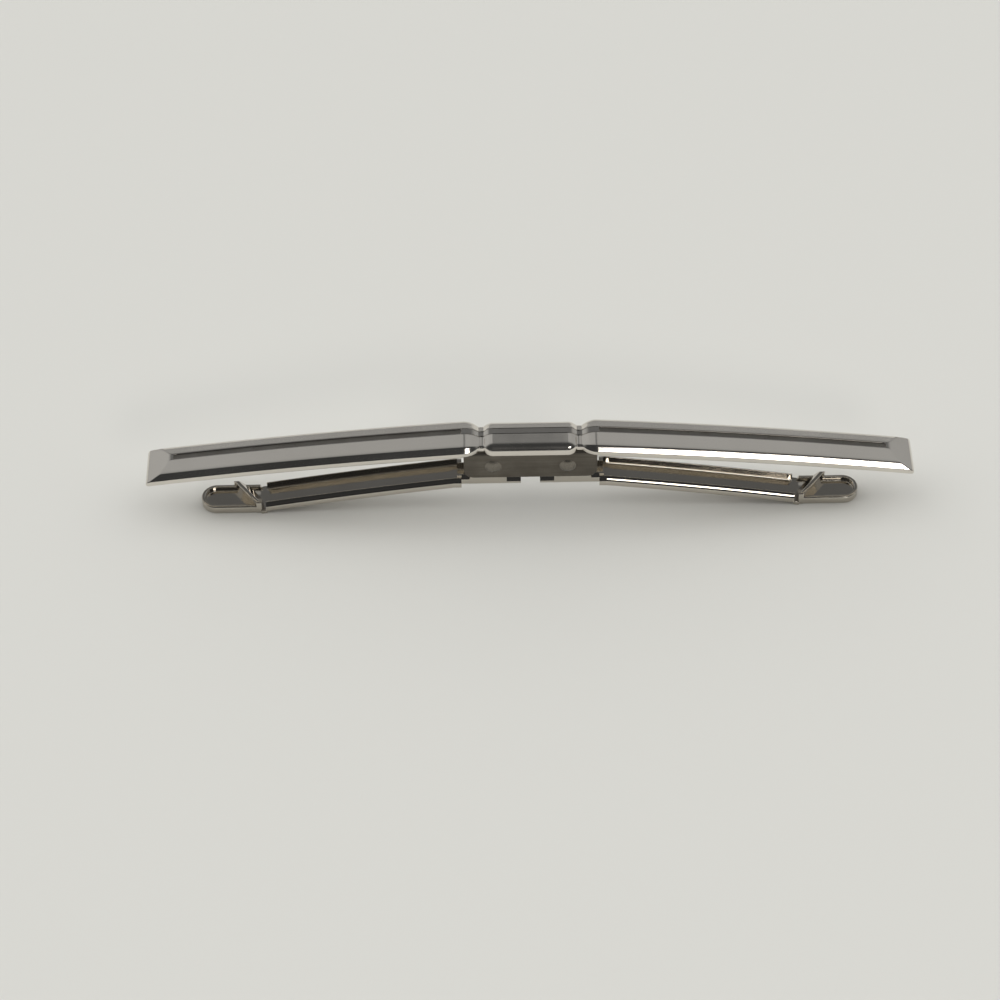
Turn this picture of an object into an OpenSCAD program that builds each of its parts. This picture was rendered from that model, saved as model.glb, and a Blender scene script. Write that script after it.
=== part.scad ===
// Double-ended tie clip: an arched front bar with two waists, and behind its middle
// a hinge housing that carries two sprung channel jaws. The clip lies on the feet
// of its jaws with the bar face up. X runs along the bar, Y across it, and the
// surface that the feet stand on is Z zero.

/* [Front bar] */
// Length of the bar, end to end
bar_len = 60; // [52:1:68]
// Width of the bar's wings
bar_w = 3.4; // [3.1:0.1:4.2]
// Thickness of the wings at their ridge
bar_t = 1.35; // [1.1:0.05:1.5]
// Width of the middle, between the waists
middle_w = 3.1; // [2.8:0.1:4]
// Thickness of the middle at its ridge
middle_t = 1.2; // [1.1:0.05:1.4]
// Slope of the two long faces, in degrees
face_slope = 21; // [14:1:24]
// Width of the flat along the ridge
ridge_w = 0.7; // [0.5:0.05:0.9]
// Width of the polished facet along each edge of the wings
facet_w = 0.34; // [0.2:0.02:0.44]
// Slope of that facet, in degrees
facet_slope = 52; // [44:1:58]
// Radius between the facets and the wings' sides
eave_r = 0.2; // [0.1:0.02:0.3]
// Radius of the long edges of the middle
middle_eave_r = 1; // [0.4:0.05:1.05]
// Length of the sloping facet at each end
hip_len = 1.9; // [1.2:0.1:2.5]
// Slope of each wing where it leaves its waist, in degrees
wing_slope = 4; // [3.5:0.1:5.5]
// Radius that each wing is bent to
wing_r = 340; // [300:1:700]

/* [Line along each wing] */
// Width of the engraved line
line_w = 0.6; // [0.3:0.05:0.65]
// Depth of the engraved line
line_d = 0.08; // [0.04:0.01:0.15]
// Distance of the line's outer end from the bar's end
line_end = 2.2; // [2.1:0.1:6]
// Distance of the line's inner end from the wing's shoulder
line_start = 0.1; // [0:0.1:3]

/* [Waists] */
// Distance of each waist from the middle
waist_x = 3.8; // [3.6:0.1:4.2]
// Width of the bar at a waist
neck_w = 2.2; // [1.8:0.1:2.8]
// Thickness of the bar at a waist
neck_t = 0.8; // [0.5:0.05:0.9]
// Length of the flat at the bottom of a waist
neck_len = 0.3; // [0.2:0.05:0.5]
// Length of the shoulder on the wing's side
wing_shoulder = 1.3; // [0.9:0.1:1.8]
// Length of the shoulder on the middle's side
middle_shoulder = 0.75; // [0.5:0.05:1.2]

/* [Hinge housing] */
// Length of the housing along the bar
housing_len = 10.4; // [10.2:0.1:10.8]
// Gap at each end between the housing and its recess in the bar's back
recess_gap = 0.05; // [0.02:0.01:0.15]
// Width over its two ears
housing_w = 2.7; // [2.64:0.02:3]
// Thickness of its sheet
housing_t = 0.4; // [0.34:0.02:0.44]
// Height of its ears, from the bar's back
ear_h = 2.75; // [2.5:0.05:2.9]
// Radius of the ears' free corners
ear_r = 0.8; // [0.4:0.1:1.1]
// Outer radius of the bend between web and ear
housing_bend_r = 0.3; // [0.2:0.02:0.34]

/* [Studs] */
// Diameter of the bar's studs
stud_d = 0.6; // [0.5:0.02:0.7]
// Diameter of their peened heads
stud_head_d = 0.9; // [0.8:0.02:1]
// Height of a peened head
stud_head_h = 0.25; // [0.2:0.02:0.4]
// Distance of the outer studs from the housing's ends
stud_inset = 0.65; // [0.6:0.01:0.7]

/* [Hinge pins] */
// Distance of each pin from the middle
pin_x = 2.9; // [2.8:0.05:3]
// Depth of the pins under the bar's back
pin_drop = 1.45; // [1.4:0.05:1.6]
// Diameter of a pin
pin_d = 0.8; // [0.6:0.05:0.85]
// Diameter of its rivet heads
pin_head_d = 1.3; // [1.1:0.05:1.5]
// Height of a rivet head
pin_head_h = 0.2; // [0.15:0.01:0.22]

/* [Jaws] */
// Distance of a jaw's tip from the middle
jaw_reach = 26; // [24:0.5:28]
// Width of a jaw's arm
jaw_w = 2.6; // [2.4:0.05:3]
// Thickness of a jaw's sheet
jaw_t = 0.35; // [0.3:0.01:0.4]
// Height of an arm's side walls
jaw_h = 1.05; // [0.9:0.05:1.1]
// Distance of the side walls' ends from the foot's bend
wall_end = 0.35; // [0.2:0.05:0.8]
// Slope of an arm where it leaves the root, in degrees
arm_slope = 7.9; // [6:0.1:10]
// Radius that an arm is bent to
arm_r = 285; // [200:5:400]
// Radius of the bend where an arm starts
arm_bend_r = 1.2; // [0.6:0.1:3]
// Depth of a jaw's root under its pin
root_drop = 2.7; // [2.6:0.05:2.9]
// Gap along the bar between the housing and an arm's shoulder
shoulder_gap = 0.2; // [0.15:0.05:0.4]
// Length of the straight shoulder before the arm's bend
shoulder_len = 0.5; // [0.45:0.05:1]
// Distance of a tail's end from the middle
tail_x = 0.75; // [0.7:0.05:0.95]
// Height of a tail's side walls
tail_h = 0.75; // [0.6:0.05:0.9]
// Length of the stop on top of a lug, out from the pin
heel_len = 1.2; // [0.9:0.05:1.3]
// Width that a lug widens by below its stop
lug_flare = 0.7; // [0.4:0.05:1]

/* [Feet] */
// Length of a foot
foot_len = 4.8; // [4:0.1:5.5]
// Width of a foot
foot_w = 2.4; // [2.2:0.05:2.6]
// Height of the rim round a foot, from its underside
rim_h = 0.75; // [0.6:0.05:1]
// Thickness of that rim
rim_t = 0.32; // [0.25:0.01:0.4]
// Height of the gripping ridge, from the foot's underside
grip_h = 1.2; // [1:0.05:1.4]
// Thickness of the gripping ridge at its top
grip_t = 0.3; // [0.2:0.02:0.5]
// Length of the slope that rises to the ridge from the arm's side
grip_run = 1; // [0.4:0.1:1.2]
// Skew of the gripping ridge, in degrees
grip_skew = 38; // [0:2:42]
// Distance of the gripping ridge from the foot's bend
grip_x = 1.15; // [1:0.05:1.3]
// Distance of the rim's start from the foot's bend
rim_start = 0.05; // [0.05:0.05:0.6]

/* [Springs] */
// Diameter of the spring wire
wire_d = 0.25; // [0.2:0.01:0.26]
// Full turns of each spring, beside the part turn between its legs
spring_turns = 2; // [1:1:2]
// Gap between the turns of a spring
turn_gap = 0.04; // [0.03:0.01:0.06]
// Radial gap between a spring and its pin
spring_play = 0.1; // [0.06:0.01:0.12]
// Distance of an upper leg's end from the middle
upper_leg_x = 0.95; // [0.8:0.05:1.2]
// Distance of a lower leg's end from the middle
lower_leg_x = 1.5; // [1.2:0.05:1.7]

/* [Clearances] */
// Radial gap between a pin or a stud and the housing
pin_fit = 0.01; // [0.005:0.005:0.02]
// Radial gap between a pin and the lug that turns on it
lug_fit = 0.04; // [0.02:0.01:0.06]
// Gap between a lug and the ear beside it
side_fit = 0.05; // [0.04:0.01:0.07]
// Gap between a lug's stop and the housing's web
stop_fit = 0.02; // [0.01:0.005:0.03]
// Gap between a spring's leg and what it bears on
leg_fit = 0.02; // [0.01:0.005:0.03]

/* [Hidden] */
$fn = 48;
// Sides of a full circle at the long bends' radii
bend_sides = 2880;
// Run-over of a cut past the face that it cuts
over = 0.1;
// Overlap of two lengths of one strip where they join
weld = 0.03;
// Sides of the spring wire, and its rings in a full turn
wire_sides = 8;
turn_rings = 20;
// Straight lengths that an arm's long bend is drawn in
arm_steps = 16;
// Angles of the round part of a shoulder, from its neck to its top
shoulder_from = 30;
shoulder_to = 90;

// Places along the bar
wing_x = waist_x + neck_len / 2 + wing_shoulder;
middle_x = waist_x - neck_len / 2 - middle_shoulder;
housing_x = housing_len / 2;
stud_x = housing_x - stud_inset;
shoulder_x = housing_x + shoulder_gap;
arm_x = shoulder_x + shoulder_len;
foot_x = jaw_reach - foot_len;

// Slope of an arm at its foot, and height of the root's underside that this gives
arm_run = foot_x - arm_x - arm_bend_r * sin(arm_slope);
foot_slope = asin(sin(arm_slope) + arm_run / arm_r);
root_z = arm_bend_r * (1 - cos(arm_slope)) + arm_r * (cos(arm_slope) - cos(foot_slope));

// Heights
pin_z = root_z + root_drop;
back_z = pin_z + pin_drop;
web_z = back_z - housing_t;

// Widths inside the housing
ear_gap_w = housing_w - 2 * housing_t;
root_w = ear_gap_w - 2 * side_fit;
lug_gap_w = root_w - 2 * jaw_t;

// Radius of a lug round its pin, which is also its stop's height over the pin
lug_r = pin_drop - housing_t - stop_fit;

// Point lists
function reversed(list) = [for (i = [len(list) - 1:-1:0]) list[i]];
function mirrored_x(list) = [for (p = list) [-p[0], p[1]]];
function mirrored_y(list) = [for (p = list) [p[0], -p[1]]];
function arc_points(cx, cy, r, a0, a1, steps = 8, first = 0) =
    [for (i = [first:steps]) let (a = a0 + (a1 - a0) * i / steps)
        [cx + r * cos(a), cy + r * sin(a)]];

// The child, an outline from the front, as a plate from y0 to y1 across the bar
module plate(y0, y1) {
    translate([0, y1, 0])
        rotate([90, 0, 0])
            linear_extrude(height = y1 - y0)
                children();
}

// Height over the back of a long face at a place y across a section of thickness t
function face_h(t, y) = t - (y - ridge_w / 2) * tan(face_slope);

// Place across the wings where a long face meets its facet, and height of the centre
// of the edge's arc over the back
facet_y = bar_w / 2 - eave_r + eave_r * sin(facet_slope) - facet_w * cos(facet_slope);
eave_h = face_h(bar_t, facet_y) - facet_w * sin(facet_slope) - eave_r * cos(facet_slope);

// Radius of the middle's long edges, which their height over the back limits
middle_r = min(middle_eave_r, face_h(middle_t, middle_w / 2)
    / (1 / cos(face_slope) - tan(face_slope)));

// Halves of the two sections, as [across, height over the back]
wing_half = concat(
    [[bar_w / 2, 0]],
    arc_points(bar_w / 2 - eave_r, eave_h, eave_r, 0, 90 - facet_slope),
    [[facet_y, face_h(bar_t, facet_y)], [ridge_w / 2, bar_t]]);
middle_half = concat(
    [[middle_w / 2, 0]],
    arc_points(middle_w / 2 - middle_r,
               face_h(middle_t, middle_w / 2 - middle_r + middle_r * sin(face_slope))
                   - middle_r * cos(face_slope),
               middle_r, 0, 90 - face_slope),
    [[ridge_w / 2, middle_t]]);

// A section of the bar from its half, as [height over the back, across]
module bar_section(half) {
    whole = concat(half, reversed(mirrored_x(half)));
    polygon([for (p = whole) [p[1], p[0]]]);
}

// Centre that a wing is bent round, its slope at a place x along the bar, and its
// level there at height h over its back
wing_centre = [waist_x - wing_r * sin(wing_slope), back_z - wing_r * cos(wing_slope)];
function wing_slope_at(x) = asin((x - wing_centre[0]) / wing_r);
function wing_z(x, h) = wing_centre[1] + sqrt(pow(wing_r + h, 2) - pow(x - wing_centre[0], 2));

// The child, a section like the bar's, along a wing from place x0 to place x1
module along_wing(x0, x1) {
    a0 = wing_slope_at(x0);
    a1 = wing_slope_at(x1);
    translate([wing_centre[0], 0, wing_centre[1]])
        rotate([90, 0, 0])
            rotate([0, 0, 90 - a1])
                rotate_extrude(angle = a1 - a0, $fn = bend_sides)
                    translate([wing_r, 0])
                        children();
}

// The child, a section like the bar's, along the middle between the waists
module along_middle() {
    translate([-waist_x, 0, back_z])
        rotate([90, 0, 90])
            linear_extrude(height = 2 * waist_x)
                rotate([0, 0, 90])
                    mirror([0, 1, 0])
                        children();
}

// Points of a waist in an outline, which is level_in high on the middle's side, neck at
// its lowest and level_out high on the wing's side
shoulder_shares = [for (a = [shoulder_from:(shoulder_to - shoulder_from) / 6:shoulder_to])
    [1 - cos(a) / cos(shoulder_from), (sin(a) - sin(shoulder_from)) / (1 - sin(shoulder_from))]];
function waist_points(level_in, neck, level_out) = concat(
    [[middle_x, level_in + over]],
    reversed([for (s = shoulder_shares)
        [waist_x - neck_len / 2 - s[0] * middle_shoulder, neck + s[1] * (level_in - neck)]]),
    [for (s = shoulder_shares)
        [waist_x + neck_len / 2 + s[0] * wing_shoulder, neck + s[1] * (level_out - neck)]],
    [[wing_x, level_out + over]]);

// The bar's outline from above
module bar_plan() {
    half = concat(waist_points(middle_w / 2, neck_w / 2, bar_w / 2),
                  [[bar_len / 2, bar_w / 2 + over]]);
    edge = concat(reversed(mirrored_x(half)), half);
    polygon(concat(edge, reversed(mirrored_y(edge))));
}

// The bar's outline from the front, with the waists and the sloping ends
module bar_elevation() {
    hip_x = bar_len / 2 - hip_len;
    half = concat(waist_points(back_z + middle_t, back_z + neck_t, wing_z(wing_x, bar_t)),
                  [[hip_x, back_z + bar_t + over],
                   [hip_x, wing_z(hip_x, bar_t)],
                   [bar_len / 2, wing_z(bar_len / 2, eave_h)],
                   [bar_len / 2, 0]]);
    polygon(concat(reversed(mirrored_x(half)), half));
}

// A domed rivet head that stands on its face toward +Z
module rivet_head(d, h) {
    dome_r = (d * d / 4 + h * h) / (2 * h);
    rotate_extrude()
        intersection() {
            translate([0, h - dome_r])
                circle(r = dome_r);
            square([d / 2, h]);
        }
}

// The bar before its studs, line and recess are made
module bar_body() {
    intersection() {
        union() {
            along_middle()
                bar_section(middle_half);
            for (side = [0, 1])
                mirror([side, 0, 0])
                    along_wing(waist_x - weld, bar_len / 2 + over)
                        bar_section(wing_half);
        }
        linear_extrude(height = back_z + bar_t + over)
            bar_plan();
        plate(-bar_w, bar_w)
            bar_elevation();
    }
}

module front_bar() {
    recess_x = housing_x + recess_gap;
    color("#b4b0a8") {
        difference() {
            bar_body();
            translate([-recess_x, -bar_w, 0])
                cube([2 * recess_x, 2 * bar_w, back_z]);
            for (side = [0, 1])
                mirror([side, 0, 0])
                    along_wing(wing_x + line_start, bar_len / 2 - line_end)
                        translate([bar_t - line_d, -line_w / 2])
                            square([line_d + over, line_w]);
        }
        for (x = [-stud_x, 0, stud_x])
            translate([x, 0, web_z]) {
                cylinder(d = stud_d, h = housing_t + neck_t / 2);
                mirror([0, 0, 1])
                    rivet_head(stud_head_d, stud_head_h);
            }
    }
}

// Outline of the housing from the front: its ears' free corners are round
module ear_outline() {
    ear_z = back_z - ear_h;
    right = concat(arc_points(housing_x - ear_r, ear_z + ear_r, ear_r, -90, 0),
                   [[housing_x, back_z]]);
    polygon(concat(right, reversed(mirrored_x(right))));
}

// Section of the housing across the bar: a channel with its web up
module housing_section() {
    outer = concat([[housing_w / 2, back_z - ear_h]],
                   arc_points(housing_w / 2 - housing_bend_r, back_z - housing_bend_r,
                              housing_bend_r, 0, 90));
    inner = [[ear_gap_w / 2, back_z - ear_h], [ear_gap_w / 2, web_z]];
    polygon(concat(reversed(mirrored_x(inner)), mirrored_x(outer), reversed(outer), inner));
}

module hinge_housing() {
    color("#85817a")
        difference() {
            intersection() {
                rotate([90, 0, 90])
                    linear_extrude(height = 2 * housing_x, center = true)
                        housing_section();
                plate(-housing_w, housing_w)
                    ear_outline();
            }
            for (x = [-pin_x, pin_x])
                translate([x, 0, pin_z])
                    rotate([90, 0, 0])
                        cylinder(d = pin_d + 2 * pin_fit, h = housing_w + over, center = true);
            for (x = [-stud_x, 0, stud_x])
                translate([x, 0, web_z - over])
                    cylinder(d = stud_d + 2 * pin_fit, h = housing_t + 2 * over);
        }
}

// A hinge pin with a rivet head at each end
module hinge_pin() {
    color("#a5a19a")
        translate([pin_x, 0, pin_z])
            rotate([90, 0, 0]) {
                cylinder(d = pin_d, h = housing_w, center = true);
                for (side = [0, 1])
                    mirror([0, 0, side])
                        translate([0, 0, housing_w / 2])
                            rivet_head(pin_head_d, pin_head_h);
            }
}

module left_hinge_pin() {
    mirror([1, 0, 0])
        hinge_pin();
}

module right_hinge_pin() {
    hinge_pin();
}

// A spring's coil and where its legs end, seen from the pin as [outward, up]
coil_r = pin_d / 2 + spring_play + wire_d / 2;
pitch = wire_d + turn_gap;
upper_end = [upper_leg_x - pin_x, web_z - pin_z - leg_fit - wire_d / 2];
lower_end = [lower_leg_x - pin_x, jaw_t - root_drop + leg_fit + wire_d / 2];
// Angles round the pin at which the legs leave the coil
upper_angle = atan2(upper_end[1], upper_end[0]) - acos(coil_r / norm(upper_end));
lower_angle = atan2(lower_end[1], lower_end[0]) + acos(coil_r / norm(lower_end));
coil_angle = 360 * spring_turns + upper_angle - lower_angle;
coil_steps = ceil(turn_rings * coil_angle / 360);
coil_w = pitch * coil_angle / 360;

// Ring of the wire round [outward, across, up], for a coil that stands at this angle
function wire_ring(p, angle) = [for (i = [0:wire_sides - 1]) let (a = 360 * i / wire_sides)
    [p[0] + wire_d / 2 * cos(a) * cos(angle),
     p[1] + wire_d / 2 * sin(a),
     p[2] + wire_d / 2 * cos(a) * sin(angle)]];

module spring() {
    coil = [for (i = [0:coil_steps]) let (a = lower_angle + coil_angle * i / coil_steps)
        wire_ring([coil_r * cos(a), coil_w * (i / coil_steps - 1 / 2), coil_r * sin(a)], a)];
    rings = concat([wire_ring([lower_end[0], -coil_w / 2, lower_end[1]], lower_angle)], coil,
                   [wire_ring([upper_end[0], coil_w / 2, upper_end[1]], upper_angle)]);
    last = len(rings) - 1;
    sides = [for (i = [0:last - 1]) for (j = [0:wire_sides - 1]) let (k = (j + 1) % wire_sides)
        [i * wire_sides + j, i * wire_sides + k, (i + 1) * wire_sides + k, (i + 1) * wire_sides + j]];
    caps = [[for (j = [wire_sides - 1:-1:0]) j],
            [for (j = [0:wire_sides - 1]) last * wire_sides + j]];
    color("#9a968f")
        translate([pin_x, 0, pin_z])
            polyhedron(points = [for (ring = rings) for (p = ring) p],
                       faces = concat(sides, caps));
}

module left_spring() {
    mirror([1, 0, 0])
        spring();
}

module right_spring() {
    spring();
}

// An arm's edge from its shoulder to the foot's bend, at height h over its underside
arm_centre = [arm_x + (arm_bend_r - arm_r) * sin(arm_slope),
              root_z - arm_bend_r + (arm_bend_r - arm_r) * cos(arm_slope)];
function arm_edge(h) = concat(
    [[shoulder_x, root_z + h]],
    arc_points(arm_x, root_z - arm_bend_r, arm_bend_r + h, 90, 90 - arm_slope),
    arc_points(arm_centre[0], arm_centre[1], arm_r + h, 90 - arm_slope, 90 - foot_slope,
               steps = arm_steps, first = 1));

// Outline from the front of an arm's sheet that stands h high on its underside
module arm_outline(h) {
    polygon(concat(arm_edge(0), reversed(arm_edge(h))));
}

// Outline of a root's side wall from the front: the tail, the lug and the arm's shoulder
module root_outline() {
    tail = [tail_x, root_z + tail_h];
    heel = [pin_x + heel_len, pin_z + lug_r];
    shoulder = [shoulder_x + jaw_t, root_z + jaw_h];
    polygon(concat(
        [[tail_x, root_z], [shoulder[0], root_z], shoulder,
         [heel[0] + lug_flare, shoulder[1]], heel],
        arc_points(pin_x, pin_z, lug_r, 90, 180),
        [[pin_x - lug_r, tail[1]], tail]));
}

// Outline of a foot from above, drawn in by inset
module foot_outline(inset) {
    end_x = jaw_reach - foot_w / 2;
    translate([end_x, 0])
        circle(r = foot_w / 2 - inset);
    translate([foot_x, inset - foot_w / 2])
        square([end_x - foot_x, foot_w - 2 * inset]);
}

module foot() {
    linear_extrude(height = jaw_t)
        foot_outline(0);
    intersection() {
        linear_extrude(height = rim_h)
            difference() {
                foot_outline(0);
                foot_outline(rim_t);
            }
        translate([foot_x + rim_start, -foot_w, 0])
            cube([foot_len, 2 * foot_w, rim_h]);
    }
    intersection() {
        linear_extrude(height = grip_h)
            foot_outline(0);
        translate([foot_x + grip_x, 0, 0])
            rotate([0, 0, -grip_skew])
                plate(-foot_w, foot_w)
                    polygon([[-grip_t / 2 - grip_run, 0], [-grip_t / 2, grip_h],
                             [grip_t / 2, grip_h], [grip_t / 2, 0]]);
    }
}

module jaw() {
    color("#aaa69e")
        difference() {
            union() {
                plate(-root_w / 2, root_w / 2)
                    translate([tail_x, root_z])
                        square([arm_x - tail_x, jaw_t]);
                plate(-jaw_w / 2, jaw_w / 2)
                    arm_outline(jaw_t);
                for (side = [0, 1])
                    mirror([0, side, 0]) {
                        plate(lug_gap_w / 2, root_w / 2)
                            root_outline();
                        plate(lug_gap_w / 2, jaw_w / 2)
                            translate([shoulder_x, root_z])
                                square([jaw_t, jaw_h]);
                        plate(jaw_w / 2 - jaw_t, jaw_w / 2)
                            intersection() {
                                arm_outline(jaw_h);
                                square([foot_x - wall_end, root_z + jaw_h + over]);
                            }
                    }
                foot();
            }
            translate([pin_x, 0, pin_z])
                rotate([90, 0, 0])
                    cylinder(d = pin_d + 2 * lug_fit, h = root_w + over, center = true);
        }
}

module left_jaw() {
    mirror([1, 0, 0])
        jaw();
}

module right_jaw() {
    jaw();
}

front_bar();
hinge_housing();
left_hinge_pin();
right_hinge_pin();
left_spring();
right_spring();
left_jaw();
right_jaw();
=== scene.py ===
"""Looks of a double-ended tie clip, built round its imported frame.

The clip lies on the feet of its jaws with the bar face up. X runs along the bar, Y
across it to the back, and Z up. Sizes are in millimetres, and a piece's mesh is turned
to metres when the piece is finished.
"""

import logging
import math
from dataclasses import dataclass, replace
from enum import Enum
from typing import Any, Callable, Sequence

import bmesh
import bpy
from mathutils import Matrix, Vector


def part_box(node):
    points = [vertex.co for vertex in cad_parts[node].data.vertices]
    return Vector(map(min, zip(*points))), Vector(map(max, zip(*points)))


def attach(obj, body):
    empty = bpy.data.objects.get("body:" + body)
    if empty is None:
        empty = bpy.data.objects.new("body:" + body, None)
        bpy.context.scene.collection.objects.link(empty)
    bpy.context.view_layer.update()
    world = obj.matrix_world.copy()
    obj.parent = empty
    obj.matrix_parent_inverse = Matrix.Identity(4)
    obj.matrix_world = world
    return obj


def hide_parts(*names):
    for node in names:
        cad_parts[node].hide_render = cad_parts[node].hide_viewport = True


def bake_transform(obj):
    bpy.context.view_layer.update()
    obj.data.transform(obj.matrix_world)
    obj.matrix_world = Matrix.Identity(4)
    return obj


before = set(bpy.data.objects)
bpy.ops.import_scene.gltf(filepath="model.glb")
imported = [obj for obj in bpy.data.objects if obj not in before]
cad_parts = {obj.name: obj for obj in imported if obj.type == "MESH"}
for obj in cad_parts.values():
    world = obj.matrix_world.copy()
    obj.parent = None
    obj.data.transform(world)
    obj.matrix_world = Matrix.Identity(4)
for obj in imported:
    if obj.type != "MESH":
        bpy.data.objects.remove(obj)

MM = 0.001
# Points nearer than this, in mm, are one
MERGE = 1e-4
# Faces that meet at more than this angle have a sharp edge between them
SHARP = math.radians(48)
HOLE_SIDES = 40
# Turns what stands along Z to lie across the bar
ACROSS = Matrix.Rotation(math.radians(90), 4, "X")

Flat = tuple[float, float]
Place = tuple[float, float, float]
Ring = list[Place]
Object = bpy.types.Object
Shell = bmesh.types.BMesh
Tree = bpy.types.NodeTree

log = logging.getLogger("tie_clip")


class Side(Enum):
    """The two ends of the clip, with the sign of X on each."""

    LEFT = -1
    RIGHT = 1

    @property
    def word(self) -> str:
        """Name of the side as pieces and bodies have it."""
        return self.name.lower()


class Work(Enum):
    """Ways to work one solid with another, with Blender's name of each."""

    WELD = "UNION"
    DRILL = "DIFFERENCE"
    TRIM = "INTERSECT"


def linear(code: str) -> tuple[float, float, float, float]:
    """Turns an sRGB hex colour to the linear colour that a shader takes.

    Args:
        code: Colour as six hex digits.

    Returns:
        Linear red, green and blue, and an alpha of 1.
    """
    shares = [int(code[i:i + 2], 16) / 255 for i in (0, 2, 4)]
    red, green, blue = (s / 12.92 if s <= 0.04045 else ((s + 0.055) / 1.055) ** 2.4
                        for s in shares)
    return red, green, blue, 1.0


def add(tree: Tree, kind: str, settings: dict[str, Any] | None = None,
        links: dict[str | int, Any] | None = None) -> bpy.types.Node:
    """Adds a node with its settings and links.

    Args:
        tree: Tree that the node goes into.
        kind: Blender's name of the node type.
        settings: Values of the node's own properties.
        links: What each input gets, by the input's name or number: a value, an output
            socket, or a node for its first output.

    Returns:
        The new node.
    """
    node = tree.nodes.new(kind)
    for name, value in (settings or {}).items():
        setattr(node, name, value)
    for name, value in (links or {}).items():
        if isinstance(value, bpy.types.Node):
            value = value.outputs[0]
        if isinstance(value, bpy.types.NodeSocket):
            tree.links.new(value, node.inputs[name])
        else:
            node.inputs[name].default_value = value
    return node


def begin_tree(name: str, inputs: dict[str, Sequence[str]]) -> tuple[Tree, Any]:
    """Begins a geometry tree.

    Args:
        name: Name of the tree.
        inputs: Names of its inputs by their kind, apart from its material.

    Returns:
        The tree, and the sockets of its inputs by name.
    """
    tree = bpy.data.node_groups.new(name, "GeometryNodeTree")
    tree.interface.new_socket("Geometry", in_out="OUTPUT", socket_type="NodeSocketGeometry")
    for kind, names in (inputs | {"Material": ("Material",)}).items():
        for each in names:
            tree.interface.new_socket(each, in_out="INPUT", socket_type=f"NodeSocket{kind}")
    return tree, add(tree, "NodeGroupInput").outputs


def end_tree(tree: Tree, shape: bpy.types.Node, material: bpy.types.NodeSocket) -> Tree:
    """Ends a geometry tree, so that it gives real geometry with a material.

    Args:
        tree: Tree from begin_tree.
        shape: Node that gives the shape.
        material: Socket of the material.

    Returns:
        The tree.
    """
    real = add(tree, "GeometryNodeRealizeInstances", links={"Geometry": shape})
    dressed = add(tree, "GeometryNodeSetMaterial", links={
        "Geometry": real, "Material": material})
    add(tree, "NodeGroupOutput", links={"Geometry": dressed})
    return tree


def grow(piece: Object, tree: Tree, sizes: dict[str, Any]) -> None:
    """Runs a geometry tree on a piece and keeps the result as a plain mesh.

    Args:
        piece: Object that the tree's geometry replaces.
        tree: The geometry tree.
        sizes: Value of each of the tree's inputs, by name.
    """
    nodes = piece.modifiers.new("shape", "NODES")
    nodes.node_group = tree
    for item in tree.interface.items_tree:
        if item.in_out == "INPUT":
            nodes[item.identifier] = sizes[item.name]
    bake(piece)


def arc(centre: Flat, radius: float, start: float, end: float, steps: int) -> list[Flat]:
    """Lists points along an arc between two angles in degrees, both ends among them."""
    angles = [math.radians(a) for a in spread(start, end, steps)]
    return [(centre[0] + radius * math.cos(a), centre[1] + radius * math.sin(a)) for a in angles]


def spread(start: float, end: float, steps: int) -> list[float]:
    """Lists evenly spaced values from start to end, both among them."""
    return [start + (end - start) * i / steps for i in range(steps + 1)]


def mix(start: float, end: float, share: float) -> float:
    """Value at a share of the way from start to end."""
    return start + (end - start) * share


def smooth_low(first: float, second: float, reach: float) -> float:
    """The lower of two values, with the turn between them rounded over a reach."""
    near = max(reach - abs(first - second), 0) / reach
    return min(first, second) - near * near * reach / 4


def whole_ring(x: float, half: Sequence[Flat]) -> Ring:
    """Closes the back half of a section, points as (across, up), with its mirror image."""
    return [(x, y, z) for y, z in half] + [(x, -y, z) for y, z in reversed(half)]


def skin(rings: Sequence[Ring], paint: Callable[[int, int], int] | None = None) -> Shell:
    """Skins rings of points into a closed shell.

    Args:
        rings: Rings with as many points each, in order.
        paint: Gives the material number of the face between a ring and the next, and
            between a point and the next, from their numbers.

    Returns:
        The shell, with its faces outward.
    """
    shell = bmesh.new()
    loops = [[shell.verts.new(point) for point in ring] for ring in rings]
    count = len(loops[0])
    for row, (first, second) in enumerate(zip(loops, loops[1:])):
        for i in range(count):
            j = (i + 1) % count
            face = shell.faces.new((first[i], first[j], second[j], second[i]))
            face.material_index = paint(row, i) if paint else 0
    shell.faces.new(loops[0])
    shell.faces.new(loops[-1])
    bmesh.ops.remove_doubles(shell, verts=shell.verts, dist=MERGE)
    bmesh.ops.recalc_face_normals(shell, faces=shell.faces)
    return shell


def lathe(outline: Sequence[Flat], steps: int) -> Shell:
    """Turns an outline, given from axis to axis as (radius, up), round Z into a closed shell."""
    turns = [math.tau * i / steps for i in range(steps)]
    return skin([[(r * math.cos(a), r * math.sin(a), z) for a in turns] for r, z in outline])


def rounded_end(end: float, edge: float, angles: Sequence[float]) -> list[Flat]:
    """Lists the sections of a rounded end, as (place, inset), at angles round its edge."""
    turns = [math.radians(a) for a in angles]
    return [(end - edge * (1 - math.sin(a)), edge * (1 - math.cos(a))) for a in turns]


def rod(size: float, reach: float, place: Matrix) -> Object:
    """Builds a cylinder that cuts a hole.

    Args:
        size: Diameter of the hole.
        reach: How far the cylinder goes to each side of its middle.
        place: Where its middle goes, its axis along Z before.

    Returns:
        The cutter.
    """
    shell = lathe([(0, -reach), (size / 2, -reach), (size / 2, reach), (0, reach)], HOLE_SIDES)
    shell.transform(place)
    return as_object(shell, "drill")


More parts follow.
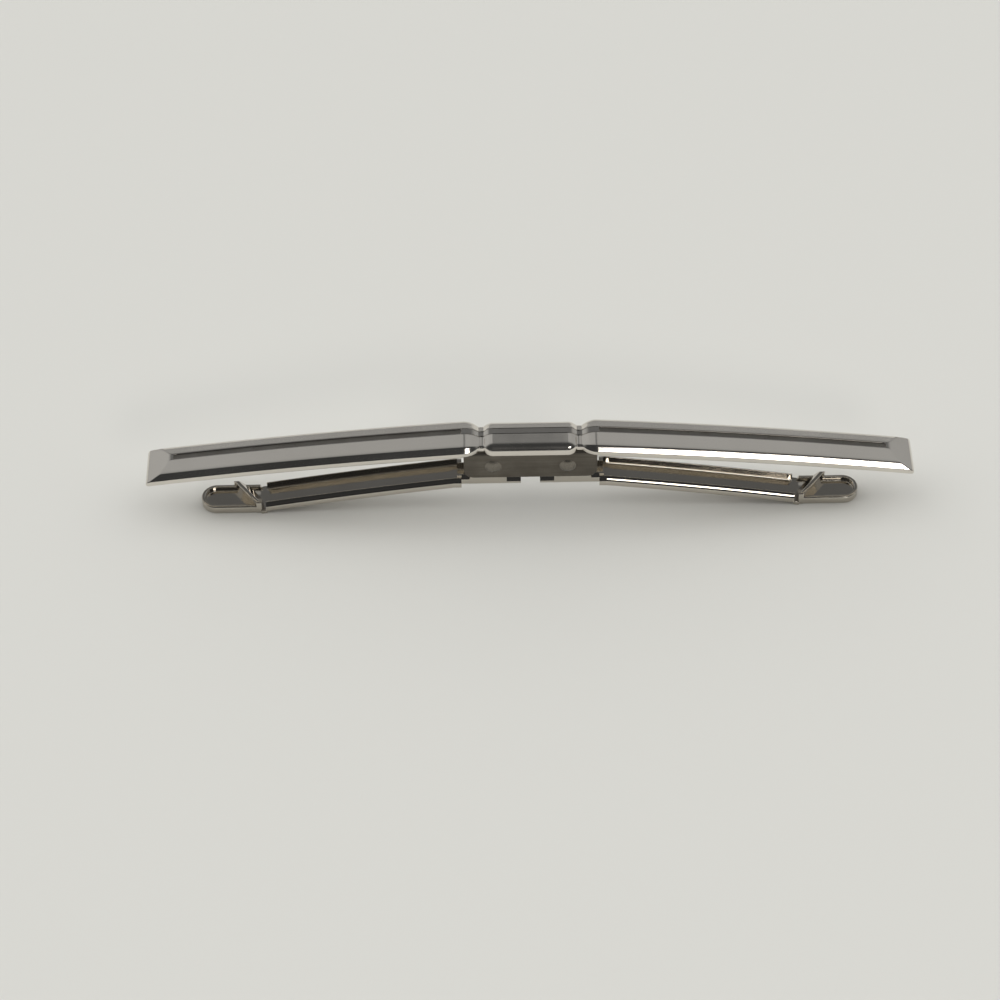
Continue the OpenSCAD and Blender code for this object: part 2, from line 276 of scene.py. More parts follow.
def rivet_head(radius: float, height: float, rim: float, steps: int) -> list[Flat]:
    """Lists points of a low dome from its crown to its seat at level zero.

    Args:
        radius: Radius of the head.
        height: Height of the crown.
        rim: How far the dome stays inside the head's edge.
        steps: Number of straight lengths over the dome.

    Returns:
        Points as (radius, up).
    """
    ball = (radius ** 2 + height ** 2) / (2 * height)
    widest = math.degrees(math.asin((radius - rim) / ball))
    curve = arc((0, height - ball), ball, 90, 90 - widest, steps)
    return curve + [(radius, curve[-1][1] - rim / 2), (radius, 0.0)]


def as_object(shell: Shell, name: str) -> Object:
    """Links a shell, still in millimetres, as an object.

    Args:
        shell: The shell, which is freed.
        name: Name of the object.

    Returns:
        The object.
    """
    mesh = bpy.data.meshes.new(name)
    shell.to_mesh(mesh)
    shell.free()
    piece = bpy.data.objects.new(name, mesh)
    bpy.context.scene.collection.objects.link(piece)
    return piece


def bake(piece: Object) -> None:
    """Turns a piece and its modifiers to one plain mesh.

    Args:
        piece: The piece, whose mesh is replaced.
    """
    graph = bpy.context.evaluated_depsgraph_get()
    mesh = bpy.data.meshes.new_from_object(piece.evaluated_get(graph), depsgraph=graph)
    piece.modifiers.clear()
    piece.data = mesh


def combine(piece: Object, others: Sequence[Object], work: Work) -> None:
    """Works other solids into a piece, one after another, and removes them.

    Args:
        piece: The piece that changes.
        others: The solids that are used up.
        work: What they do to the piece.
    """
    for other in others:
        cut = piece.modifiers.new("cut", "BOOLEAN")
        cut.operation, cut.solver, cut.object = work.value, "EXACT", other
        bake(piece)
        bpy.data.objects.remove(other)


def clean(piece: Object, mirrored: bool = False) -> None:
    """Makes doubled points one and turns the faces outward.

    Args:
        piece: The piece.
        mirrored: Whether its left and right ends change places.
    """
    shell = bmesh.new()
    shell.from_mesh(piece.data)
    if mirrored:
        shell.transform(Matrix.Diagonal((-1, 1, 1, 1)))
    bmesh.ops.remove_doubles(shell, verts=shell.verts, dist=MERGE)
    bmesh.ops.recalc_face_normals(shell, faces=shell.faces)
    shell.to_mesh(piece.data)
    shell.free()


@dataclass(frozen=True)
class Finish:
    """A metal's finish, with its colour and roughness at its best and at its worst."""

    name: str
    slot: str
    tint: str
    deep: str
    gloss: float
    dull: float

    def surface(self, tree: Tree, here: bpy.types.NodeSocket) -> tuple[Any, Any, Any]:
        """Adds the surface's nodes, and gives its colour, roughness and normal."""
        raise NotImplementedError

    def material(self) -> bpy.types.Material:
        """Builds the material from the finish's sizes.

        Returns:
            The material.
        """
        made = bpy.data.materials.new(self.name)
        made.use_nodes = True
        tree = made.node_tree
        tree.nodes.clear()
        here = add(tree, "ShaderNodeTexCoord").outputs["Object"]
        colour, rough, normal = self.surface(tree, here)
        shader = add(tree, "ShaderNodeBsdfPrincipled", links={
            "Metallic": 1.0, "Base Color": colour, "Roughness": rough, "Normal": normal})
        add(tree, "ShaderNodeOutputMaterial", links={"Surface": shader})
        return made


@dataclass(frozen=True)
class PlatedFinish(Finish):
    """Bright electroplate over a polished base metal.

    The plate is a mirror that a polishing mop has left very slightly wavy, with hairlines
    from wiping along the bar. Its colour hardly changes, and is a little deeper where the
    plate is thin. Real hairlines are too fine to show, so these are drawn coarser.
    """

    ripple: float = 1.6
    ripple_height: float = 0.0009
    hairline: float = 0.06
    hairline_length: float = 9.0
    hairline_turn: Place = (0.02, 0.03, 0.05)
    hairline_share: Flat = (0.58, 0.76)
    scratch: float = 0.25
    cloud: float = 4.5
    cloud_share: Flat = (0.3, 0.7)

    def surface(self, tree: Tree, here: bpy.types.NodeSocket) -> tuple[Any, Any, Any]:
        """Adds cloudy plate with hairlines and ripples.

        Args:
            tree: The material's tree.
            here: Place on the piece, in metres.

        Returns:
            The colour, roughness and normal.
        """
        cloud = add(tree, "ShaderNodeTexNoise", links={
            "Vector": here, "Scale": 1 / (self.cloud * MM), "Detail": 3.0, "Roughness": 0.6})
        colour = add(tree, "ShaderNodeMix", {"data_type": "RGBA"}, {
            "Factor": cloud, 6: linear(self.deep), 7: linear(self.tint)})
        across = 1 / (self.hairline * MM)
        stretched = add(tree, "ShaderNodeMapping", links={
            "Vector": here, "Rotation": self.hairline_turn,
            "Scale": (1 / (self.hairline_length * MM), across, across)})
        lines = add(tree, "ShaderNodeTexNoise", links={
            "Vector": stretched, "Scale": 1.0, "Detail": 2.0})
        hair = add(tree, "ShaderNodeMapRange", {"interpolation_type": "SMOOTHSTEP"}, {
            "Value": lines, "From Min": self.hairline_share[0],
            "From Max": self.hairline_share[1]})
        haze = add(tree, "ShaderNodeMapRange", links={
            "Value": cloud, "From Min": self.cloud_share[0], "From Max": self.cloud_share[1],
            "To Min": self.gloss, "To Max": self.dull})
        rough = add(tree, "ShaderNodeMath", {"operation": "MULTIPLY_ADD"}, {
            0: hair, 1: self.dull - self.gloss, 2: haze})
        ripple = add(tree, "ShaderNodeTexNoise", links={
            "Vector": here, "Scale": 1 / (self.ripple * MM), "Detail": 1.0})
        waves = add(tree, "ShaderNodeBump", links={
            "Strength": 1.0, "Distance": self.ripple_height * MM, "Height": ripple})
        scratched = add(tree, "ShaderNodeBump", {"invert": True}, {
            "Strength": self.scratch, "Distance": self.ripple_height * MM / 2,
            "Height": hair, "Normal": waves})
        return colour.outputs[2], rough, scratched


@dataclass(frozen=True)
class GrainedFinish(Finish):
    """Metal with fine parallel lines, such as brushed sheet or drawn wire.

    The lines are shallow and much longer than they are wide, so that they spread a
    reflection across themselves and leave the surface dull. Real lines are too fine to
    show, so these are drawn coarser.
    """

    grain: float = 0.1
    grain_length: float = 3.0
    grain_height: float = 0.0022
    grain_share: Flat = (0.3, 0.7)
    cloud: float = 1.8
    wear: Flat = (0.6, 0.1)
    wear_share: Flat = (0.1, 0.32)

    def surface(self, tree: Tree, here: bpy.types.NodeSocket) -> tuple[Any, Any, Any]:
        """Adds worn metal with a grain.

        Args:
            tree: The material's tree.
            here: Place on the piece, in metres.

        Returns:
            The colour, roughness and normal.
        """
        across = 1 / (self.grain * MM)
        stretched = add(tree, "ShaderNodeMapping", links={
            "Vector": here, "Scale": (1 / (self.grain_length * MM), across, across)})
        lines = add(tree, "ShaderNodeTexNoise", links={
            "Vector": stretched, "Scale": 1.0, "Detail": 4.0, "Roughness": 0.65})
        cloud = add(tree, "ShaderNodeTexNoise", links={
            "Vector": here, "Scale": 1 / (self.cloud * MM), "Detail": 4.0})
        worn = add(tree, "ShaderNodeMath", {"operation": "MULTIPLY_ADD", "use_clamp": True}, {
            0: lines, 1: self.wear[0], 2: self.wear[1]})
        shade = add(tree, "ShaderNodeMath", {"operation": "MULTIPLY", "use_clamp": True}, {
            0: worn, 1: cloud})
        share = add(tree, "ShaderNodeMapRange", links={
            "Value": shade, "From Min": self.wear_share[0], "From Max": self.wear_share[1]})
        colour = add(tree, "ShaderNodeMix", {"data_type": "RGBA"}, {
            "Factor": share, 6: linear(self.deep), 7: linear(self.tint)})
        rough = add(tree, "ShaderNodeMapRange", links={
            "Value": lines, "From Min": self.grain_share[0], "From Max": self.grain_share[1],
            "To Min": self.dull, "To Max": self.gloss})
        brushed = add(tree, "ShaderNodeBump", links={
            "Strength": 1.0, "Distance": self.grain_height * MM, "Height": lines})
        return colour.outputs[2], rough, brushed


# Rhodium over polished brass: a hard, faintly warm white mirror
BRIGHT_PLATE = PlatedFinish("rhodium_plated_bar", "bright_plate", tint="e4dfd7", deep="d8d2c9",
                            gloss=0.11, dull=0.17)
# The same plate in the engraved line: the cutter's marks leave it rougher, and its tint is darker
# as painted shade in the groove
LINE_PLATE_PAINTED_SHADE = GrainedFinish("engraved_line_plate", "bright_plate", tint="a8a39b", deep="918c84",
                           gloss=0.26, dull=0.38, grain=0.07, grain_length=1.5)
# Nickel over stamped steel: a warmer mirror than the bar's and not polished as long
BRIGHT_NICKEL = PlatedFinish("nickel_plated_jaw", "bright_nickel", tint="ccc6bc", deep="bab4aa",
                             gloss=0.05, dull=0.08, ripple=1.1, ripple_height=0.0016,
                             hairline=0.08)
# Nickel on unpolished sheet: the rolling marks show through as dull lines, and its tint is
# darkened as painted shade for its place under the bar
SATIN_NICKEL_PAINTED_SHADE = GrainedFinish("satin_nickel_sheet", "satin_nickel", tint="716c64", deep="5c5750",
                             gloss=0.3, dull=0.42)
# Turned steel rivet wire, plated after its heads are formed: a soft grey sheen, with its tint
# darkened as painted shade under the bar
PIN_STEEL_PAINTED_SHADE = PlatedFinish("nickel_plated_pin", "pin_steel", tint="88837a", deep="767169",
                         gloss=0.22, dull=0.32, ripple=0.6, hairline=0.05, hairline_length=0.8)
# Hard drawn spring wire: the die leaves lines along it, which blur its highlights
SPRING_STEEL = GrainedFinish("drawn_spring_wire", "spring_steel", tint="b0aca5", deep="8e8a83",
                             gloss=0.2, dull=0.32, grain=0.03, grain_length=1.0, cloud=0.8)


def finish_piece(piece: Object, body: str | None, replaced: str | None,
                 *finishes: Finish) -> Object:
    """Scales a piece to metres, shades it, and gives it its body and materials.

    Args:
        piece: Object whose mesh is in millimetres.
        body: Body that the piece rides on, or None for one that rides on no body.
        replaced: CAD node that the piece stands for, if any.
        finishes: Its finishes, in the order of the mesh's material numbers. A mesh that
            has its materials keeps them.

    Returns:
        The piece.
    """
    piece.data.transform(Matrix.Scale(MM, 4))
    piece.data.shade_smooth()
    piece.data.set_sharp_from_angle(angle=SHARP)
    if not piece.data.materials:
        for finish in finishes:
            piece.data.materials.append(finish.material())
    even = piece.modifiers.new("even_normals", "WEIGHTED_NORMAL")
    even.mode, even.weight, even.keep_sharp = "FACE_AREA_WITH_ANGLE", 100, True
    bake(piece)
    if body:
        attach(piece, body)
    if replaced:
        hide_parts(replaced)
    return piece


@dataclass(frozen=True)
class BarSection:
    """Sizes of one of the bar's sections: a wing's, the middle's or a neck's."""

    width: float
    thickness: float
    eave: float
    facet: float = 0.0
    facet_slope: float = 52.0
    face_slope: float = 21.0
    ridge: float = 0.7
    crease: float = 0.025

    def rise(self) -> list[Flat]:
        """Lists points up the side.

        They go round the eave, over the facet where there is one, and up the long face
        to the edge of the flat along the ridge. All sections have as many.

        Returns:
            Points as (across, height over the back).
        """
        face = math.radians(self.face_slope)
        tilt = math.radians(self.facet_slope) if self.facet else face
        meet = (self.width / 2 - self.eave + self.eave * math.sin(tilt)
                - self.facet * math.cos(tilt))
        level = self.thickness - (meet - self.ridge / 2) * math.tan(face)
        centre = (self.width / 2 - self.eave,
                  level - self.facet * math.sin(tilt) - self.eave * math.cos(tilt))
        points = arc(centre, self.eave, 0, 90 - math.degrees(tilt), 11 if self.facet else 15)
        if self.facet:
            low = points[-1]
            points += [(mix(low[0], meet, s), mix(low[1], level, s))
                       for s in (1 / 3, 2 / 3, 1 - self.crease / self.facet)]
            points.append((meet - self.crease * math.cos(face),
                           level + self.crease * math.sin(face)))
        last = points[-1]
        return points + [(mix(last[0], self.ridge / 2, s), mix(last[1], self.thickness, s))
                         for s in (0.25, 0.5, 0.75, 1)]


@dataclass(frozen=True)
class BarStation:
    """One section where it stands: its rising side, its limits and whether it has the line."""

    x: float
    rise: tuple[Flat, ...]
    low: float
    cap: float
    lined: bool
    inset: float


@dataclass
class FrontBar:
    """The arched bar with its two waists, hipped ends and wing lines."""

    back: float
    length: float = 60.0
    wing: BarSection = BarSection(width=3.4, thickness=1.345, eave=0.2, facet=0.5)
    middle: BarSection = BarSection(width=3.1, thickness=1.2, eave=1.0)
    neck: BarSection = BarSection(width=2.3, thickness=0.86, eave=0.35, ridge=0.6)
    hip: float = 1.9
    wing_slope: float = 4.0
    wing_bend: float = 340.0
    line_width: float = 0.6
    line_wall: float = 0.05
    line_depth: float = 0.08
    line_end: float = 2.2
    line_start: float = 0.1
    waist: float = 3.8
    neck_length: float = 0.3
    wing_shoulder: float = 1.3
    middle_shoulder: float = 0.75
    recess: float = 5.25
    edge: float = 0.2
    crest: float = 0.1
    shoulder_from: float = 30.0
    neck_softness: float = 0.3

    @property
    def wing_start(self) -> float:
        """Place along the bar where a wing has its full section."""
        return self.waist + self.neck_length / 2 + self.wing_shoulder

    @property
    def middle_end(self) -> float:
        """Place along the bar where the middle loses its full section."""
        return self.waist - self.neck_length / 2 - self.middle_shoulder

    @property
    def hip_start(self) -> float:
        """Place along the bar where a wing's end begins to slope down."""
        return self.length / 2 - self.hip

    @property
    def line_span(self) -> Flat:
        """Places along the bar where a wing's line begins and ends."""
        return self.wing_start + self.line_start, self.length / 2 - self.line_end

    def level(self, x: float, height: float) -> float:
        """Finds the level of a point of the bar.

        Args:
            x: Distance from the middle.
            height: Height over the bar's back.

        Returns:
            The level there.
        """
        if x <= self.waist:
            return self.back + height
        slope = math.radians(self.wing_slope)
        centre_x = self.waist - self.wing_bend * math.sin(slope)
        centre_z = self.back - self.wing_bend * math.cos(slope)
        return centre_z + math.sqrt((self.wing_bend + height) ** 2 - (x - centre_x) ** 2)

    def shoulder_share(self, x: float) -> float:
        """Works out how full the section is at a place.

        Args:
            x: Distance from the middle.

        Returns:
            The share, 0 at a neck and 1 past its shoulders.
        """
        out, neck = x > self.waist, self.neck_length / 2
        reach = self.wing_shoulder if out else self.middle_shoulder
        run = min(max((abs(x - self.waist) - neck) / reach, 0), 1)
        first = math.radians(self.shoulder_from)
        angle = math.acos((1 - run) * math.cos(first))
        share = (math.sin(angle) - math.sin(first)) / (1 - math.sin(first))
        soft = self.neck_softness
        return (math.hypot(share, soft) - soft) / (math.hypot(1, soft) - soft)

    def station(self, x: float, inset: float = 0.0) -> BarStation:
        """Works out the section at a place.

        Args:
            x: Distance from the middle.
            inset: How far the section is drawn in, for the rounding of the bar's end.

        Returns:
            The section.
        """
        full = self.wing if x > self.waist else self.middle
        share = self.shoulder_share(x)
        rise = tuple((mix(a[0], b[0], share), self.level(x, mix(a[1], b[1], share)))
                     for a, b in zip(self.neck.rise(), full.rise()))
        hip_top = self.level(self.hip_start, self.wing.thickness)
        hip_low = self.level(self.length / 2, self.wing.rise()[0][1])
        cap = hip_top + (x - self.hip_start) / self.hip * (hip_low - hip_top)
        top, (first, last) = rise[-1][1], self.line_span
        return BarStation(x, rise, self.back if x <= self.recess else self.level(x, 0),
                          smooth_low(top, cap, self.crest) if x > self.waist else top,
                          first < x < last, inset)

    def half_section(self, at: BarStation) -> list[Flat]:
        """Lists the points of half a section, from the back's edge to the crown's middle.

        Args:
            at: The section.

        Returns:
            Points as (across, up).
        """
        side, foot = at.rise[0]
        edge = min(self.edge, (foot - at.low) / 2)
        rise = self.capped([(side, mix(at.low + edge, foot, 0.5)), *at.rise], at.cap)
        corner = rise[-1]
        rise = self.drawn_back(rise, self.crest)
        start, end = rise[-1], (corner[0] - self.crest, corner[1])
        turn = [tuple((1 - t) ** 2 * a + 2 * t * (1 - t) * b + t * t * c
                      for a, b, c in zip(start, corner, end)) for t in (0.25, 0.5, 0.75, 1)]
        groove, floor = self.line_width / 2, corner[1] - self.line_depth * at.lined
        flat = [(mix(end[0], groove, s), corner[1]) for s in (0.4, 0.8)] + [(groove, corner[1])]
        bed = [(y, floor) for y in (groove - self.line_wall, groove * 0.5, groove * 0.12)]
        half = arc((side - edge, at.low + edge), edge, -90, 0, 4) + rise + turn + flat + bed
        middle, reach = (corner[1] + at.low) / 2, (corner[1] - at.low) / 2
        return [(y * (1 - at.inset / side), z - at.inset * (z - middle) / reach)
                for y, z in half]

    @staticmethod
    def capped(points: Sequence[Flat], level: float) -> list[Flat]:
        """Holds a rising line of points under a level, with as many points.

        Args:
            points: Points as (across, up), each higher than the one before.
            level: The level that cuts the line off.

        Returns:
            The points, those over the level moved to where the line crosses it.
        """
        held = [p for p in points if p[1] < level]
        if len(held) == len(points) or not held:
            return list(points)
        first, second = held[-1], points[len(held)]
        share = (level - first[1]) / (second[1] - first[1])
        crossing = (mix(first[0], second[0], share), level)
        return held + [crossing] * (len(points) - len(held))

    @staticmethod
    def drawn_back(points: Sequence[Flat], reach: float) -> list[Flat]:
        """Draws the end of a line of points back along itself, with as many points.

        Args:
            points: The line's points.
            reach: Length by which it gets shorter.

        Returns:
            The points, those past the new end moved to it.
        """
        left, last = reach, len(points) - 1
        while last > 0:
            length = math.dist(points[last], points[last - 1])
            if length > left:
                share = left / length
                end = (mix(points[last][0], points[last - 1][0], share),
                       mix(points[last][1], points[last - 1][1], share))
                return list(points[:last]) + [end] * (len(points) - last)
            left -= length
            last -= 1
        return [points[0]] * len(points)

    def half_places(self) -> list[Flat]:
        """Lists the sections from the middle to the right end.

        Returns:
            Place along the bar and inset of each.
        """
        end, (first, last) = self.length / 2, self.line_span
        wall, step = self.line_wall, MERGE * 40
        # The sections stand closest where the shape turns most
        runs = [spread(0, self.middle_end, 6), spread(self.middle_end, self.waist, 26),
                spread(self.waist + step, self.wing_start, 40),
                [self.recess, self.recess + step],
                [first, first + wall, last - wall, last],
                spread(self.wing_start + 0.3, self.hip_start - 0.3, 70),
                spread(self.hip_start - 0.2, end - self.edge, 44)]
        places = sorted({round(x, 4) for run in runs for x in run})
        return ([(x, 0.0) for x in places]
                + rounded_end(end, self.edge, (22.5, 45, 67.5, 90)))

    def build(self) -> Object:
        """Builds the bar's mesh, in millimetres.

        Returns:
            The bar.
        """
        right = [self.station(x, inset) for x, inset in self.half_places()]
        left = [replace(s, x=-s.x) for s in reversed(right[1:])]
        stations = left + right
        rings = [whole_ring(s.x, self.half_section(s)) for s in stations]
        # A section has its middle after this many points, and half the line's bed has three
        half, bed = len(rings[0]) // 2, 3

        def paint(row: int, point: int) -> int:
            """Gives the line's material, with its painted shade, between two rings that have it,
            on its bed and walls.
            """
            lined = stations[row].lined and stations[row + 1].lined
            return int(lined and abs(point + 1 - half) <= bed)

        return as_object(skin(rings, paint), "bar_body")

    def dress(self) -> Object:
        """Builds the bar and gives it its plate."""
        return finish_piece(self.build(), "bar", "front_bar", BRIGHT_PLATE, LINE_PLATE_PAINTED_SHADE)


@dataclass
class StudHeads:
    """The peened heads of the bar's studs, under the housing's web."""

    level: float
    spacing: float = 4.55
    count: int = 3
    shank: float = 0.6
    head: float = 0.9
    height: float = 0.25
    rim: float = 0.05
    seat: float = 0.06
    steps: int = 8
    sides: int = 32

    def head_mesh(self) -> Object:
        """Builds one head, its dome downward and its seat at Z zero.

        Returns:
            The head.
        """
        head = [(r, -z) for r, z in rivet_head(self.head / 2, self.height, self.rim, self.steps)]
        shank = [(self.shank / 2, 0), (self.shank / 2, self.seat), (0, self.seat)]
        return as_object(lathe(head + shank, self.sides), "stud_head_pattern")

    def row_tree(self) -> Tree:
        """Builds the node tree that sets heads out in a row along the bar.

        Returns:
            The tree, with the head, the count and the sizes of the row as inputs.
        """
        tree, sizes = begin_tree("row_of_heads", {
            "Object": ("Head",), "Int": ("Count",), "Float": ("Spacing", "Level")})
        gaps = add(tree, "ShaderNodeMath", {"operation": "SUBTRACT"}, {
            0: sizes["Count"], 1: 1.0})
        reach = add(tree, "ShaderNodeMath", {"operation": "MULTIPLY"}, {
            0: gaps, 1: sizes["Spacing"]})
        start = add(tree, "ShaderNodeMath", {"operation": "MULTIPLY"}, {0: reach, 1: -0.5})
        first = add(tree, "ShaderNodeCombineXYZ", links={"X": start, "Z": sizes["Level"]})
        step = add(tree, "ShaderNodeCombineXYZ", links={"X": sizes["Spacing"]})
        row = add(tree, "GeometryNodeMeshLine", links={
            "Count": sizes["Count"], "Start Location": first, "Offset": step})
        pattern = add(tree, "GeometryNodeObjectInfo", links={"Object": sizes["Head"]})
        heads = add(tree, "GeometryNodeInstanceOnPoints", links={
            "Points": row, "Instance": pattern.outputs["Geometry"]})
        return end_tree(tree, heads, sizes["Material"])

    def dress(self) -> Object:
        """Builds the row of heads and gives it the bar's plate.

        Returns:
            The finished heads.
        """
        pattern, plate = self.head_mesh(), BRIGHT_PLATE.material()
        piece = as_object(bmesh.new(), "bar_stud_heads")
        grow(piece, self.row_tree(), {"Head": pattern, "Count": self.count,
                                      "Spacing": self.spacing, "Level": self.level,
                                      "Material": plate})
        bpy.data.objects.remove(pattern)
        return finish_piece(piece, "bar", None, BRIGHT_PLATE)


@dataclass
class HingeHousing:
    """The bent bracket under the bar's middle that holds both pins."""

    back: float
    pin_level: float
    length: float = 10.4
    width: float = 2.7
    sheet: float = 0.4
    ear: float = 2.75
    ear_corner: float = 0.8
    bend: float = 0.3
    inner_bend: float = 0.08
    edge: float = 0.07
    pin_x: float = 2.9
    pin_hole: float = 0.82
    stud_x: float = 4.55
    stud_hole: float = 0.62

    def half_section(self, low: float, inset: float) -> list[Flat]:
        """Lists the points of half a section, from the web's top to its underside.

        Args:
            low: Level of the ear's free edge.
            inset: How far the sheet's faces are drawn in, for the rounding of its ends.

        Returns:
            Points as (across, up).
        """
        outer, inner = self.width / 2 - inset, self.width / 2 - self.sheet + inset
        top, under = self.back - inset, self.back - self.sheet + inset
        edge, low = self.edge, low + inset
        return (arc((outer - self.bend, top - self.bend), self.bend, 90, 0, 8)
                + arc((outer - edge, low + edge), edge, 0, -90, 4)
                + arc((inner + edge, low + edge), edge, -90, -180, 4)
                + arc((inner - self.inner_bend, under - self.inner_bend),
                      self.inner_bend, 0, 90, 4))

    def build(self) -> Object:
        """Builds the housing's mesh with its holes, in millimetres.

        Returns:
            The housing.
        """
        end, foot = self.length / 2, self.back - self.ear
        corner = end - self.ear_corner
        places = [(x, 0.0) for x in spread(0, corner, 10)]
        places += [(x, 0.0) for x in (corner + self.ear_corner * math.sin(math.radians(a))
                                      for a in range(10, 70, 10)) if x < end - self.edge]
        places += rounded_end(end, self.edge, (0, 30, 60, 90))
        rings = []
        for x, inset in places:
            out = max(x - corner, 0)
            low = foot + self.ear_corner - math.sqrt(max(self.ear_corner ** 2 - out ** 2, 0))
            rings.append((x, self.half_section(low, inset)))
        whole = ([whole_ring(-x, half) for x, half in reversed(rings[1:])]
                 + [whole_ring(x, half) for x, half in rings])
        piece = as_object(skin(whole), "housing_bracket")
        drills = [rod(self.pin_hole, self.width / 2 + self.sheet / 4, Matrix.Translation(
            (side.value * self.pin_x, 0, self.pin_level)) @ ACROSS) for side in Side]
        drills += [rod(self.stud_hole, self.sheet * 3 / 4, Matrix.Translation(
            (x, 0, self.back - self.sheet / 2))) for x in (-self.stud_x, 0, self.stud_x)]
        combine(piece, drills, Work.DRILL)
        return piece

    def dress(self) -> Object:
        """Builds the housing and gives it its satin nickel, darkened as painted shade."""
        return finish_piece(self.build(), "bar", "hinge_housing", SATIN_NICKEL_PAINTED_SHADE)


@dataclass
class HingePin:
    """A rivet through the housing's ears that a jaw turns on."""

    side: Side
    level: float
    x: float = 2.9
    size: float = 0.8
    grip: float = 2.7
    head: float = 1.3
    height: float = 0.2
    rim: float = 0.05
    steps: int = 10
    sides: int = 56

    def build(self) -> Object:
        """Builds the pin's mesh, in millimetres.

        Returns:
            The pin.
        """
        seat = self.grip / 2
        end = [(r, seat + z)
               for r, z in rivet_head(self.head / 2, self.height, self.rim, self.steps)]
        end.append((self.size / 2, seat))
        shell = lathe(end + [(r, -z) for r, z in reversed(end)], self.sides)
        shell.transform(Matrix.Translation((self.side.value * self.x, 0, self.level)) @ ACROSS)
        return as_object(shell, f"{self.side.word}_rivet_pin")

    def dress(self) -> Object:
        """Builds the pin and gives it its plate."""
        return finish_piece(self.build(), "bar", f"{self.side.word}_hinge_pin", PIN_STEEL_PAINTED_SHADE)


@dataclass
class TorsionSpring:
    """A coil on a hinge pin with a leg to the housing's web and a leg to the jaw's tail.

    The lower leg stays where it is wound; leg_bend gives two depths under the pin that nothing
    uses.
    """

    side: Side
    pin_level: float
    web: float
    tail_floor: float
    pin_x: float = 2.9
    pin: float = 0.8
    play: float = 0.1
    wire: float = 0.25
    turns: int = 2
    turn_gap: float = 0.04
    leg_fit: float = 0.02
    upper_leg: float = 0.95
    lower_leg: float = 1.5
    leg_bend: Flat = (0.75, 2.0)
    turn_steps: int = 40
    wire_sides: int = 14

    def sizes(self) -> dict[str, Any]:
        """Works out the tree's inputs from the spring's sizes.

        Returns:
            Value of each input, by name.
        """
        radius = self.pin / 2 + self.play + self.wire / 2
        rest = self.leg_fit + self.wire / 2
        upper = (self.upper_leg - self.pin_x, self.web - self.pin_level - rest)
        lower = (self.lower_leg - self.pin_x, self.tail_floor - self.pin_level + rest)
        last = math.atan2(upper[1], upper[0]) - math.acos(radius / math.hypot(*upper))
        first = math.atan2(lower[1], lower[0]) + math.acos(radius / math.hypot(*lower))
        sweep = math.tau * self.turns + last - first
        width = (self.wire + self.turn_gap) * sweep / math.tau
        return {"Steps": round(self.turn_steps * sweep / math.tau), "Radius": radius,
                "First Angle": first, "Sweep": sweep, "Width": width,
                "Lower End": (lower[0], -width / 2, lower[1]),
                "Upper End": (upper[0], width / 2, upper[1]),
                "Pin": (self.pin_x, 0.0, self.pin_level), "Side": float(self.side.value),
                "Wire": self.wire, "Wire Sides": self.wire_sides}

    @staticmethod
    def coil_tree() -> Tree:
        """Builds the node tree that winds a wire round a pin, with a leg at each end.

        Returns:
            The tree, with the spring's sizes as inputs.
        """
        tree, sizes = begin_tree("wound_wire", {
            "Int": ("Steps", "Wire Sides"), "Vector": ("Lower End", "Upper End", "Pin"),
            "Float": ("Radius", "First Angle", "Sweep", "Width", "Side", "Wire")})
        count = add(tree, "ShaderNodeMath", {"operation": "ADD"}, {0: sizes["Steps"], 1: 3.0})
        line = add(tree, "GeometryNodeMeshLine", links={"Count": count})
        number = add(tree, "GeometryNodeInputIndex")
        wound = add(tree, "ShaderNodeMath", {"operation": "SUBTRACT"}, {0: number, 1: 1.0})
        share = add(tree, "ShaderNodeMath", {"operation": "DIVIDE"}, {
            0: wound, 1: sizes["Steps"]})
        angle = add(tree, "ShaderNodeMath", {"operation": "MULTIPLY_ADD"}, {
            0: share, 1: sizes["Sweep"], 2: sizes["First Angle"]})
        off = add(tree, "ShaderNodeMath", {"operation": "SUBTRACT"}, {0: share, 1: 0.5})
        ways = {"Y": add(tree, "ShaderNodeMath", {"operation": "MULTIPLY"}, {
            0: off, 1: sizes["Width"]})}
        for way, operation in (("X", "COSINE"), ("Z", "SINE")):
            turn = add(tree, "ShaderNodeMath", {"operation": operation}, {0: angle})
            ways[way] = add(tree, "ShaderNodeMath", {"operation": "MULTIPLY"}, {
                0: turn, 1: sizes["Radius"]})
        place = add(tree, "ShaderNodeCombineXYZ", links=ways)
        last = add(tree, "ShaderNodeMath", {"operation": "ADD"}, {0: sizes["Steps"], 1: 1.5})
        for operation, limit, end in (("LESS_THAN", 0.5, "Lower End"),
                                      ("GREATER_THAN", last, "Upper End")):
            there = add(tree, "ShaderNodeMath", {"operation": operation}, {
                0: number, 1: limit})
            place = add(tree, "GeometryNodeSwitch", {"input_type": "VECTOR"}, {
                "Switch": there, "False": place, "True": sizes[end]})
        mirror = add(tree, "ShaderNodeCombineXYZ", links={"X": sizes["Side"], "Y": 1.0, "Z": 1.0})
        for operation, other in (("ADD", sizes["Pin"]), ("MULTIPLY", mirror)):
            place = add(tree, "ShaderNodeVectorMath", {"operation": operation}, {
                0: place, 1: other})
        route = add(tree, "GeometryNodeSetPosition", links={"Geometry": line, "Position": place})
        curve = add(tree, "GeometryNodeMeshToCurve", links={"Mesh": route})
        radius = add(tree, "ShaderNodeMath", {"operation": "MULTIPLY"}, {
            0: sizes["Wire"], 1: 0.5})
        ring = add(tree, "GeometryNodeCurvePrimitiveCircle", links={
            "Resolution": sizes["Wire Sides"], "Radius": radius})
        tube = add(tree, "GeometryNodeCurveToMesh", links={
            "Curve": curve, "Profile Curve": ring, "Fill Caps": True})
        return end_tree(tree, tube, sizes["Material"])

